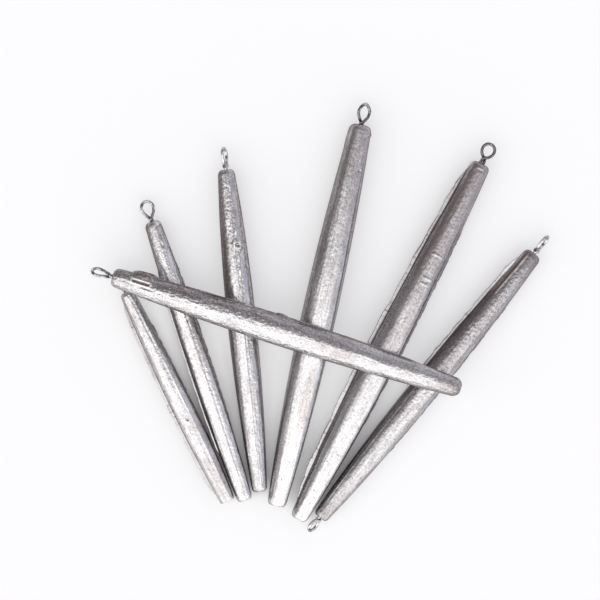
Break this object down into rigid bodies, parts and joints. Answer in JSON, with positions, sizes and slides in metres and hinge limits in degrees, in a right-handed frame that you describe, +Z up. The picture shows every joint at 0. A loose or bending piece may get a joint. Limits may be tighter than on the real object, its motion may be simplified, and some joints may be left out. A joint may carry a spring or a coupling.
{
  "type": "fishing sinker set",
  "caption": "Long barrel-shaped cast lead pencil sinkers with twisted wire eyes, laid out as a fan with one sinker lying across the others.",
  "frame": {"origin": "middle of the set's floor space, on the surface that the sinkers lie on", "axes": "+Z up; +X to the right of the fan as it is seen from above with the heads away from the viewer; +Y the way the fan opens, from the tails towards the heads"},
  "size_m": [0.1832, 0.1719, 0.0282],
  "materials": {
    "cast_lead": "bare cast lead, grainy, dull grey with bright rubbed areas",
    "steel_wire": "bright drawn steel wire"
  },
  "bodies": {
    "sinker_1": {"sinker_1_lead": "cast_lead", "sinker_1_eye": "steel_wire"},
    "sinker_2": {"sinker_2_lead": "cast_lead", "sinker_2_eye": "steel_wire"},
    "sinker_3": {"sinker_3_lead": "cast_lead", "sinker_3_eye": "steel_wire"},
    "sinker_4": {"sinker_4_lead": "cast_lead", "sinker_4_eye": "steel_wire"},
    "sinker_5": {"sinker_5_lead": "cast_lead", "sinker_5_eye": "steel_wire"},
    "sinker_6": {"sinker_6_lead": "cast_lead", "sinker_6_eye": "steel_wire", "sinker_6_tail_eye": "steel_wire"},
    "sinker_7": {"sinker_7_lead": "cast_lead", "sinker_7_eye": "steel_wire"}
  },
  "joints": [
    {"name": "draw_out_1", "type": "slide", "parent": "sinker_4", "child": "sinker_1", "axis": [-0.4368, 0.8996, 0], "range_m": [0, 0.11]},
    {"name": "draw_out_2", "type": "slide", "parent": "sinker_4", "child": "sinker_2", "axis": [-0.3173, 0.9483, 0], "range_m": [0, 0.11]},
    {"name": "draw_out_3", "type": "slide", "parent": "sinker_4", "child": "sinker_3", "axis": [-0.1045, 0.9945, 0], "range_m": [0, 0.11]},
    {"name": "draw_out_5", "type": "slide", "parent": "sinker_4", "child": "sinker_5", "axis": [0.4587, 0.8886, 0], "range_m": [0, 0.11]},
    {"name": "draw_out_6", "type": "slide", "parent": "sinker_4", "child": "sinker_6", "axis": [0.6307, 0.776, 0], "range_m": [0, 0.11]},
    {"name": "lift_off_7", "type": "slide", "parent": "sinker_4", "child": "sinker_7", "axis": [0, 0, 1], "range_m": [0, 0.06]}
  ]
}
